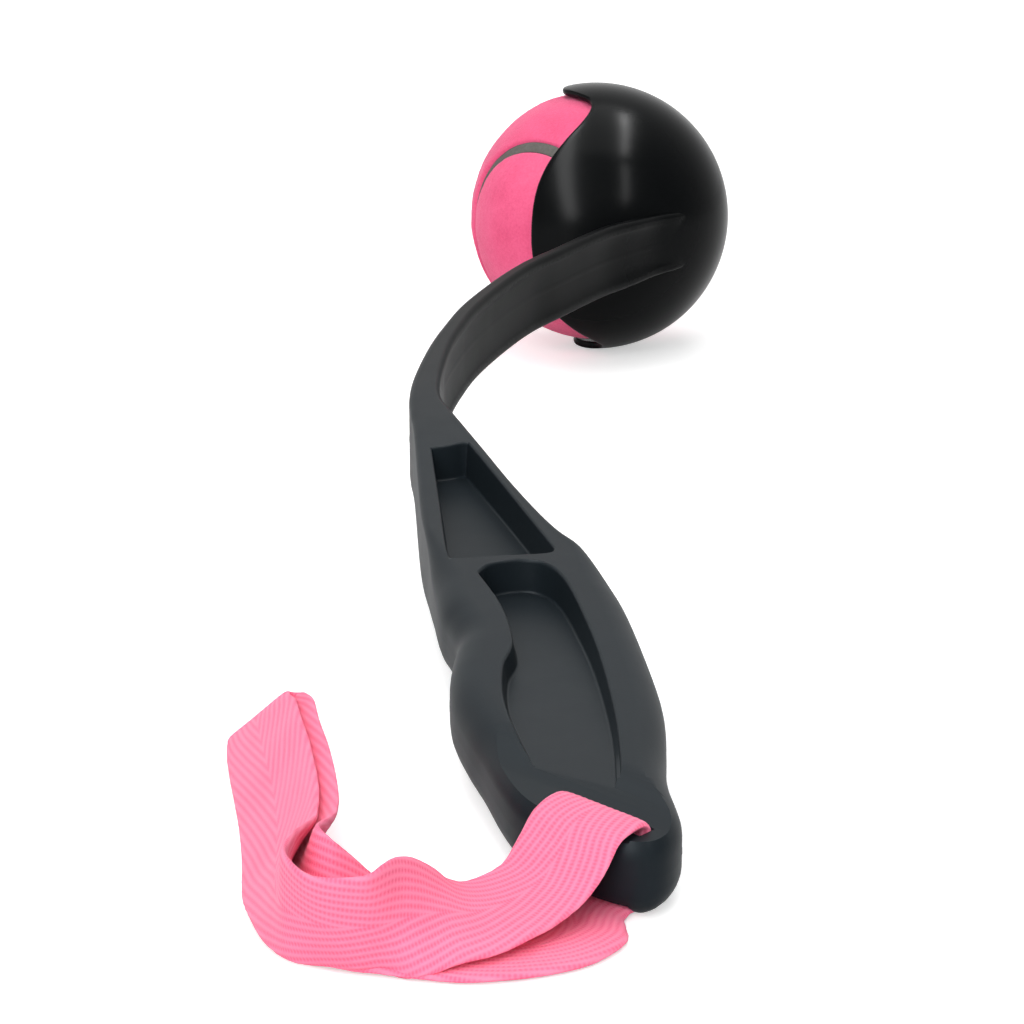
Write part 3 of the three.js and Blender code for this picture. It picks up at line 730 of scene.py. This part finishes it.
def cup():
    """The cup as one closed shell: its outer face, its rounded rim and its inner face."""
    rim = rim_samples(quarter=60)
    soft = CUP_WALL / 2
    middle = CUP_INNER + soft
    rows, bends = 44, 6
    back = cup_direction(0, math.pi)
    points = [back * CUP_OUTER]
    stops = []
    for row in range(1, rows + 1):
        stops.append((row / rows, CUP_OUTER, 0))
    for bend in range(1, bends):
        a = math.pi / 2 - math.pi * bend / bends
        stops.append((1, middle + soft * math.sin(a), soft * math.cos(a)))
    for row in range(rows, 0, -1):
        stops.append((row / rows, CUP_INNER, 0))
    for share, radius, beyond in stops:
        for sample in rim:
            reach = (180 - sample.y) * share
            angle = math.radians(180 - reach) + (soft * share - beyond) / middle
            points.append(cup_direction(math.radians(sample.x), angle) * radius)
    points.append(back * CUP_INNER)
    count = len(rim)
    faces = [(0, 1 + (i + 1) % count, 1 + i) for i in range(count)]
    faces += [tuple(reversed(face)) for face in loft_faces(len(stops), count, first=1)]
    last = 1 + (len(stops) - 1) * count
    faces += [(len(points) - 1, last + i, last + (i + 1) % count) for i in range(count)]
    piece = mesh_object("cup", points, faces)
    tidy(piece, near=1e-5)
    return piece


def ball_way():
    """A cutter for the ball's way out, which thins the inner faces of the cup's lobes."""
    radius = BALL_RADIUS + EXIT_CLEARANCE
    length, sides = 60, 160
    opening = cup_direction(0, 0, dip=0)
    across, up = Vector((-opening.y, opening.x, 0)), Vector((0, 0, 1))
    turns = [math.tau * i / sides for i in range(sides)]
    return closed_loft("way", [
        [opening * reach + across * radius * math.cos(a) + up * radius * math.sin(a) for a in turns]
        for reach in (0, length)
    ])


def wall_middle():
    """A ball as far as the middle of the cup's wall, which is where it ends the arm."""
    mesh = bpy.data.meshes.new("wall")
    work = bmesh.new()
    bmesh.ops.create_uvsphere(work, u_segments=96, v_segments=48, radius=CUP_INNER + CUP_WALL / 2)
    work.to_mesh(mesh)
    work.free()
    piece = bpy.data.objects.new("wall", mesh)
    bpy.context.scene.collection.objects.link(piece)
    return piece


def make_launcher():
    launcher = slab(launcher_outline(steps=210))
    triangle, grip = pocket_outline(TRIANGLE_POCKET, steps=150), pocket_outline(GRIP_POCKET, steps=220)
    cutters = []
    for cutter in (
        recess("triangle", triangle, lambda y: WEB / 2, draft=0.6, fillet=0.5, rim=0.5),
        recess("grip", grip, grip_floor, draft=0.5, fillet=0.5, rim=0.6),
        saddle(STRAP_WIDTH + 2 * STRAP_GAP),
    ):
        cutters += [cutter, mirrored(cutter)]
    for cutter in cutters + [butt_ramp(), strap_slot(), arm_cove(), wall_middle()]:
        combine(launcher, cutter, "DIFFERENCE")
    combine(launcher, cup(), "UNION")
    combine(launcher, ball_way(), "DIFFERENCE")
    tidy(launcher, near=1e-3)
    launcher.data.transform(PLACE)
    smooth(launcher, sharp_angle=32)
    flat = launcher.modifiers.new("normals", "WEIGHTED_NORMAL")
    flat.keep_sharp = True
    apply_modifiers(launcher)
    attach(launcher, "launcher")
    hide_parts("launcher")
    return launcher


launcher = make_launcher()


# Ball: two felt panels and the seam between them, round a rubber core

# In millimetres. The layers of uneven felt are pairs of a fineness and a height.
FELT_THICKNESS = 2.45
FELT_INNER = BALL_RADIUS - FELT_THICKNESS
FELT_ROLL, ROLL_SHARE = 1.1, 0.9
FELT_SUNK = 0.12
FELT_PROUD = 0.42
FELT_LUMPS = ((5.5, 0.16), (19, 0.06))
FELT_NAP = ((52, 0.055), (110, 0.045))
HELD_RELIEF = 0.45
SEAM_WIDTH = 3
SEAM_GAP = 0.05
SEAM_SPREAD = 0.75
SEAM_SUNK = 0.62
SEAM_CROWN = 0.16
END_WIDENING = 1.35
SEAM_FINENESS, SEAM_ROUGHNESS = 24, 0.05

# The angles from the opening's axis at which the felt starts to stand free of the cup, and is quite free
FREE_FROM, FREE_FULL = math.radians(82), math.radians(62)


def seam_direction(turn):
    """A direction on the seam, one closed curve that swings up and down twice round the ball."""
    rest = 1 - SEAM_SPREAD
    return Vector((
        SEAM_SPREAD * math.cos(turn) + rest * math.cos(3 * turn),
        SEAM_SPREAD * math.sin(turn) - rest * math.sin(3 * turn),
        2 * math.sqrt(SEAM_SPREAD * rest) * math.sin(2 * turn),
    ))


def seam_frame(turn):
    """The direction out of the ball on the seam, and the one across the seam there."""
    out = seam_direction(turn).normalized()
    ahead = (seam_direction(turn + 1e-3) - seam_direction(turn - 1e-3)).normalized()
    return out, out.cross(ahead).normalized()


def seam_tree():
    steps = 900
    tree = KDTree(steps)
    for i in range(steps):
        tree.insert(seam_frame(math.tau * i / steps)[0] * BALL_RADIUS, i)
    tree.balance()
    return tree


SEAM_TREE = seam_tree()
way_out = PLACE.to_3x3() @ cup_direction(0, 0, dip=0)
OPEN_WAY = (BALL_PLACE.to_3x3().inverted() @ way_out).normalized()


def relief(direction, layers):
    """Noise in layers, each a fineness and a height."""
    return sum(noise.noise(direction * fineness) * height for fineness, height in layers)


def felt_radius(direction):
    """The felt rolls down to the seam, is worn uneven, and stands a little proud where the cup is open."""
    near = SEAM_TREE.find(direction * BALL_RADIUS)[2] - SEAM_WIDTH / 2
    drop = 0
    if near < FELT_ROLL:
        drop = FELT_ROLL - math.sqrt(max(0, FELT_ROLL ** 2 - (FELT_ROLL - max(near, 0)) ** 2))
    free = smoothstep(direction.dot(OPEN_WAY), math.cos(FREE_FROM), math.cos(FREE_FULL))
    smooth_radius = BALL_RADIUS - FELT_SUNK + FELT_PROUD * free - drop * ROLL_SHARE
    uneven = relief(direction, FELT_LUMPS) + relief(direction, FELT_NAP)
    return smooth_radius + uneven * lerp(HELD_RELIEF, 1, free)


def eased(share, amount):
    """A share from 0 to 1 whose even steps are drawn together near both ends, by the amount."""
    return lerp(share, 0.5 - 0.5 * math.cos(math.pi * share), amount)


def make_panel(name, node, half_turn):
    """A felt panel of rows that run from one side of the seam's lobe to the other."""
    rows, columns = 210, 58
    inset = math.asin(SEAM_WIDTH / 2 / BALL_RADIUS)
    end_inset = inset * END_WIDENING
    first, last = math.pi * 3 / 4 - end_inset, -math.pi / 4 + end_inset
    turned = Matrix.Rotation(math.pi if half_turn else 0, 3, "X")
    skins = [[], []]
    for row in range(rows + 1):
        out, across = seam_frame(lerp(first, last, eased(row / rows, amount=0.5)))
        start = (out + across * math.tan(inset)).normalized()
        end = Vector((-start.y, -start.x, start.z))
        angle = start.angle(end)
        for column in range(columns + 1):
            t = eased(column / columns, amount=0.6)
            direction = turned @ (start * math.sin((1 - t) * angle) + end * math.sin(t * angle)).normalized()
            skins[0].append(direction * felt_radius(direction))
            skins[1].append(direction * FELT_INNER)
    wide = columns + 1
    size = (rows + 1) * wide
    faces = []
    for row in range(rows):
        for column in range(columns):
            a = row * wide + column
            quad = (a, a + 1, a + wide + 1, a + wide)
            faces += [quad, tuple(size + k for k in reversed(quad))]
    edge = list(range(columns))
    edge += [row * wide + columns for row in range(rows)]
    edge += [rows * wide + column for column in range(columns, 0, -1)]
    edge += [row * wide for row in range(rows, 0, -1)]
    for i, a in enumerate(edge):
        b = edge[(i + 1) % len(edge)]
        faces.append((b, a, size + a, size + b))
    panel = mesh_object(name, skins[0] + skins[1], faces, BALL_PLACE)
    tidy(panel, near=1e-7)
    smooth(panel, sharp_angle=60)
    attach(panel, "ball")
    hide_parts(node)
    return panel


def make_seam():
    """A low crowned band that lies a little under the felt's surface."""
    steps, bends = 420, 8
    half = SEAM_WIDTH / 2 - SEAM_GAP
    points = []
    for step in range(steps):
        out, across = seam_frame(math.tau * step / steps)
        section = [(-half, FELT_INNER), (half, FELT_INNER)]
        for bend in range(bends + 1):
            x = half - 2 * half * bend / bends
            section.append((x, BALL_RADIUS - SEAM_SUNK + SEAM_CROWN * (1 - (x / half) ** 2)))
        for x, radius in section:
            rough = 0
            if radius > FELT_INNER:
                rough = noise.noise(out * SEAM_FINENESS + Vector((x, 0, 0))) * SEAM_ROUGHNESS
            points.append((out * radius + across * x).normalized() * (radius + rough))
    faces = loft_faces(steps, len(section), closed=True)
    seam = mesh_object("ball_seam_glue", points, faces, BALL_PLACE)
    tidy(seam, near=1e-7)
    smooth(seam, sharp_angle=50)
    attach(seam, "ball")
    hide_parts("ball_seam")
    return seam


panels = [
    make_panel("felt_upper_panel", "felt_panel_a", False),
    make_panel("felt_lower_panel", "felt_panel_b", True),
]
seam = make_seam()


# Materials

# Which sockets of a Mix node take its two values and give its result
MIX_SOCKETS = {"FLOAT": (2, 3, 0), "RGBA": (6, 7, 2)}


class Nodes:
    """The node tree of a material or of the world, filled one call at a time."""

    def __init__(self, owner):
        owner.use_nodes = True
        self.tree = owner.node_tree

    def node(self, kind, settings=None, **inputs):
        made = self.tree.nodes.new(kind)
        for key, value in (settings or {}).items():
            setattr(made, key, value)
        for key, value in inputs.items():
            self.put(made.inputs[key.replace("_", " ")], value)
        return made

    def put(self, socket, value):
        if isinstance(value, bpy.types.NodeSocket):
            self.tree.links.new(value, socket)
        else:
            socket.default_value = value

    def math(self, operation, *values):
        made = self.node("ShaderNodeMath", {"operation": operation})
        for socket, value in zip(made.inputs, values):
            self.put(socket, value)
        return made.outputs[0]

    def plus(self, value, other):
        return self.math("ADD", value, other)

    def times(self, value, other):
        return self.math("MULTIPLY", value, other)

    def remap(self, value, from_low, from_high, low, high, kind="LINEAR"):
        """The value's range from_low to from_high as one from low to high, and level outside it."""
        return self.node(
            "ShaderNodeMapRange", {"interpolation_type": kind}, Value=value,
            From_Min=from_low, From_Max=from_high, To_Min=low, To_Max=high,
        ).outputs["Result"]


class Look(Nodes):
    """A material round one Principled shader."""

    def __init__(self, name):
        self.material = bpy.data.materials.new(name)
        super().__init__(self.material)
        self.shader = self.tree.nodes["Principled BSDF"]
        self.place = self.node("ShaderNodeTexCoord").outputs["Object"]

    def noise(self, scale, detail, roughness=0.5):
        return self.node(
            "ShaderNodeTexNoise", Vector=self.place, Scale=scale, Detail=detail, Roughness=roughness,
        ).outputs["Fac"]

    def ramp(self, value, stops):
        made = self.node("ShaderNodeValToRGB", Fac=value)
        stop = made.color_ramp.elements
        while len(stop) < len(stops):
            stop.new(0.5)
        for element, (place, colour) in zip(stop, stops):
            element.position = place
            element.color = (*colour, 1)
        return made.outputs["Color"]

    def mix(self, kind, factor, first, second):
        """A blend from the first to the second, of numbers (FLOAT) or of colours (RGBA)."""
        made = self.node("ShaderNodeMix", {"data_type": kind}, Factor=factor)
        a, b, result = MIX_SOCKETS[kind]
        self.put(made.inputs[a], first)
        self.put(made.inputs[b], second)
        return made.outputs[result]

    def spread(self, value, low, high):
        """A value from 0 to 1 as one from low to high."""
        return self.plus(self.times(value, high - low), low)

    def bump(self, height, distance, strength, normal=None):
        made = self.node("ShaderNodeBump", Height=height, Distance=distance, Strength=strength)
        if normal is not None:
            self.put(made.inputs["Normal"], normal)
        return made.outputs["Normal"]

    def set(self, **sockets):
        for key, value in sockets.items():
            self.put(self.shader.inputs[key.replace("_", " ")], value)

    def give(self, *objects):
        for piece in objects:
            piece.data.materials.clear()
            piece.data.materials.append(self.material)


def moulded_plastic():
    """Satin on the grip and the arm, polished and blacker on the cup."""
    look = Look("satin_black_moulding")
    clouds = look.noise(24, detail=4, roughness=0.55)
    grain = look.noise(2600, detail=2, roughness=0.6)
    wear = look.noise(130, detail=6, roughness=0.62)
    split = look.node("ShaderNodeSeparateXYZ", Vector=look.place).outputs

    def by_length(low, high):
        """0 on the handle's side and 1 on the cup's, changing between two places along the part."""
        return look.remap(split["Y"], low, high, 0, 1, "SMOOTHSTEP")

    satin, polished = look.spread(clouds, 0.36, 0.44), look.spread(clouds, 0.16, 0.21)
    rough = look.mix("FLOAT", by_length(0.11, 0.15), satin, polished)
    grey = look.ramp(clouds, [(0.3, (0.009, 0.013, 0.0162)), (0.7, (0.011, 0.016, 0.02))])
    black = look.ramp(clouds, [(0.3, (0.003, 0.0034, 0.0037)), (0.7, (0.0042, 0.0048, 0.0051))])
    shine = look.spread(by_length(0.05, 0.15), 0.078, 0.056)
    fine = look.bump(grain, distance=0.00003, strength=0.25)
    look.set(
        Base_Color=look.mix("RGBA", by_length(-0.05, 0.07), grey, black),
        Roughness=look.plus(rough, look.times(wear, 0.06)),
        Normal=look.bump(wear, distance=0.0002, strength=0.05, normal=fine),
        Specular_IOR_Level=shine,
    )
    return look


def felt():
    look = Look("pink_felt_nap")
    clouds = look.noise(70, detail=4, roughness=0.6)
    nap = look.noise(1500, detail=5, roughness=0.7)
    strands = look.noise(4200, detail=3, roughness=0.7)
    mixed = look.plus(look.times(clouds, 0.55), look.times(nap, 0.45))
    rough = look.bump(nap, distance=0.0005, strength=0.45)
    look.set(
        Base_Color=look.ramp(mixed, [
            (0.28, (0.74, 0.07, 0.18)), (0.5, (0.86, 0.108, 0.246)), (0.75, (0.93, 0.166, 0.31)),
        ]),
        Roughness=look.spread(clouds, 0.88, 0.97),
        Normal=look.bump(strands, distance=0.0002, strength=0.4, normal=rough),
        Sheen_Weight=0.35, Sheen_Roughness=0.45, Sheen_Tint=(1, 0.55, 0.7, 1), Specular_IOR_Level=0.15,
    )
    return look


def seam_rubber():
    look = Look("grey_seam")
    grain = look.noise(900, detail=4, roughness=0.65)
    look.set(
        Base_Color=look.ramp(grain, [(0.3, (0.085, 0.08, 0.072)), (0.7, (0.13, 0.122, 0.112))]),
        Roughness=look.spread(grain, 0.75, 0.9),
        Normal=look.bump(grain, distance=0.0003, strength=0.3),
        Specular_IOR_Level=0.25,
    )
    return look


def core_rubber():
    look = Look("plain_core_rubber")
    grain = look.noise(400, detail=4, roughness=0.6)
    look.set(
        Base_Color=look.ramp(grain, [(0.3, (0.16, 0.16, 0.155)), (0.7, (0.22, 0.22, 0.21))]),
        Roughness=look.spread(grain, 0.6, 0.8),
        Normal=look.bump(grain, distance=0.0003, strength=0.2),
    )
    return look


def webbing():
    """Herringbone twill tape, drawn by its texture coordinates, which run across and along the tape. Its
    colour is darker in the grooves between the ribs, which is painted shade.
    """
    look = Look("pink_herringbone_webbing")
    uv = look.node("ShaderNodeUVMap", {"uv_map": "UVMap"}).outputs["UV"]
    split = look.node("ShaderNodeSeparateXYZ", Vector=uv).outputs
    across, ahead = look.math("ABSOLUTE", split["X"]), split["Y"]
    steep, flat = UV_UNIT * math.cos(RIB_ANGLE), UV_UNIT * math.sin(RIB_ANGLE)
    phase = look.math(
        "SUBTRACT", look.times(across, steep / RIB_PITCH), look.times(ahead, flat / RIB_PITCH),
    )
    wave = look.math("COSINE", look.times(phase, math.tau))
    ribs = look.plus(look.times(wave, 0.5), 0.5)
    yarns = look.plus(look.times(across, flat), look.times(ahead, steep))
    stitches = look.math("SINE", look.times(yarns, math.tau / YARN_PITCH))
    fibre = look.noise(2800, detail=4, roughness=0.7)
    clouds = look.noise(60, detail=3, roughness=0.5)
    depth = look.plus(look.times(stitches, 0.3), 0.7)
    grooves = look.times(look.math("SUBTRACT", 1, ribs), depth)
    relief_height = look.math("SUBTRACT", 1, grooves)
    # The colour is darker where the grooves between the ribs are deep, which is painted shade. The fibre and
    # cloud noise add random tone on top.
    groove_shade_and_tone = look.plus(look.times(relief_height, 0.5), look.times(fibre, 0.25))
    groove_shade_and_tone = look.plus(groove_shade_and_tone, look.times(clouds, 0.25))
    threads = look.bump(relief_height, distance=0.0002, strength=0.35)
    # The ramp's dark end gives the painted shade in the grooves.
    look.set(
        Base_Color=look.ramp(groove_shade_and_tone, [
            (0.15, (0.86, 0.107, 0.22)), (0.5, (0.97, 0.178, 0.31)), (0.8, (1, 0.248, 0.39)),
        ]),
        Roughness=look.spread(fibre, 0.82, 0.95),
        Normal=look.bump(fibre, distance=0.0003, strength=0.35, normal=threads),
        Sheen_Weight=0.25, Sheen_Roughness=0.5, Sheen_Tint=(1, 0.6, 0.75, 1), Specular_IOR_Level=0.15,
    )
    return look


moulded_plastic().give(launcher)
felt().give(*panels)
seam_rubber().give(seam)
webbing().give(strap)
core_rubber().give(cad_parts["core_half_lower"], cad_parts["core_half_upper"])


# Floor, lamps and background

# In metres. The floor glows for the camera and, less, in reflections. The glow grows from GLOW_FROM to
# GLOW_TO away from the middle, so that the shadows near the part stay.
FLOOR_REACH = 6
GLOW_FROM, GLOW_TO = 0.8, 4
GLOW_NEAR, GLOW_FAR = 0.5, 0.8
MIRRORED_GLOW = 0.2
ROOM_FILL = 0.48
ROOM_DIM, ROOM_WHITE = 0.15, 1
ROOM_FRONT, ROOM_BACK = -0.3, 0.9
FLOOR_MIDDLE = (0, 0, 0)
ARM_MIDDLE = (0, 0.15, 0.03)


def add_floor():
    corners = [(-FLOOR_REACH, -FLOOR_REACH), (FLOOR_REACH, -FLOOR_REACH)]
    corners += [(FLOOR_REACH, FLOOR_REACH), (-FLOOR_REACH, FLOOR_REACH)]
    floor = mesh_object("floor", [(x, y, 0) for x, y in corners], [(0, 1, 2, 3)])
    look = Look("pale_floor")
    faint = look.noise(3, detail=2)
    rays = look.node("ShaderNodeLightPath").outputs
    mirrored_floor = look.math("MAXIMUM", rays["Is Glossy Ray"], rays["Is Transmission Ray"])
    seen = look.math("MAXIMUM", rays["Is Camera Ray"], look.times(mirrored_floor, MIRRORED_GLOW))
    distance = look.node("ShaderNodeVectorMath", {"operation": "LENGTH"}, Vector=look.place).outputs["Value"]
    glow = look.remap(distance, GLOW_FROM, GLOW_TO, GLOW_NEAR, GLOW_FAR)
    look.set(
        Base_Color=look.ramp(faint, [(0.3, (0.8, 0.8, 0.8)), (0.7, (0.82, 0.82, 0.82))]),
        Roughness=0.9, Specular_IOR_Level=0.1,
        Emission_Color=(1, 1, 1, 1), Emission_Strength=look.times(seen, glow),
    )
    look.give(floor)


def add_lamp(name, near_end, far_end, width, aim, watts, mirrored=True, lights=True):
    """A rectangular lamp that runs from one end to the other and faces the aim.

    One that isn't mirrored gives no highlight, and one that only is mirrored gives nothing else.
    """
    near_end, far_end, aim = Vector(near_end), Vector(far_end), Vector(aim)
    centre = (near_end + far_end) / 2
    back = (centre - aim).normalized()
    run = far_end - near_end
    run -= back * run.dot(back)
    data = bpy.data.lights.new(name, "AREA")
    data.shape = "RECTANGLE"
    data.size, data.size_y = width, run.length
    data.energy = watts
    lamp = bpy.data.objects.new(name, data)
    run.normalize()
    turn = Matrix((run.cross(back), run, back)).transposed()
    lamp.matrix_world = Matrix.Translation(centre) @ turn.to_4x4()
    lamp.visible_glossy = mirrored
    lamp.visible_diffuse = lights
    bpy.context.scene.collection.objects.link(lamp)


def add_world():
    """White to the camera, and in reflections white behind the part and dim in front of it."""
    world = bpy.data.worlds.new("studio")
    bpy.context.scene.world = world
    nodes = Nodes(world)
    rays = nodes.node("ShaderNodeLightPath").outputs
    direction = nodes.node("ShaderNodeTexCoord").outputs["Generated"]
    split = nodes.node("ShaderNodeSeparateXYZ", Vector=direction).outputs
    mirrored_room = nodes.remap(split["Y"], ROOM_FRONT, ROOM_BACK, ROOM_DIM, ROOM_WHITE)
    strength = ROOM_FILL
    for name in ("Is Glossy Ray", "Is Transmission Ray"):
        strength = nodes.remap(rays[name], 0, 1, strength, mirrored_room)
    background = nodes.tree.nodes["Background"]
    nodes.put(background.inputs["Strength"], nodes.remap(rays["Is Camera Ray"], 0, 1, strength, 1))
    nodes.put(background.inputs["Color"], (1, 1, 1, 1))


add_floor()
add_lamp(
    "strip_left", (-0.52, -1.18, 0.18), (-0.36, 0.45, 1.43),
    width=0.24, aim=ARM_MIDDLE, watts=24, lights=False,
)
add_lamp(
    "strip_right_low", (0.59, -1.1, 0.53), (0.55, -0.6, 1.22),
    width=0.1, aim=ARM_MIDDLE, watts=5, lights=False,
)
add_lamp(
    "strip_right_high", (0.52, -0.43, 1.3), (0.4, 0.7, 1.4),
    width=0.1, aim=ARM_MIDDLE, watts=13, lights=False,
)
add_lamp("softbox_top", (0, -0.7, 1.7), (0, 1.1, 1.7), width=1.4, aim=FLOOR_MIDDLE, watts=15)
add_lamp(
    "fill_front", (-0.3, -1.6, 0.4), (-0.3, -1.1, 1.3),
    width=0.9, aim=FLOOR_MIDDLE, watts=18, mirrored=False,
)
add_world()
bpy.context.scene.view_settings.view_transform = "Standard"
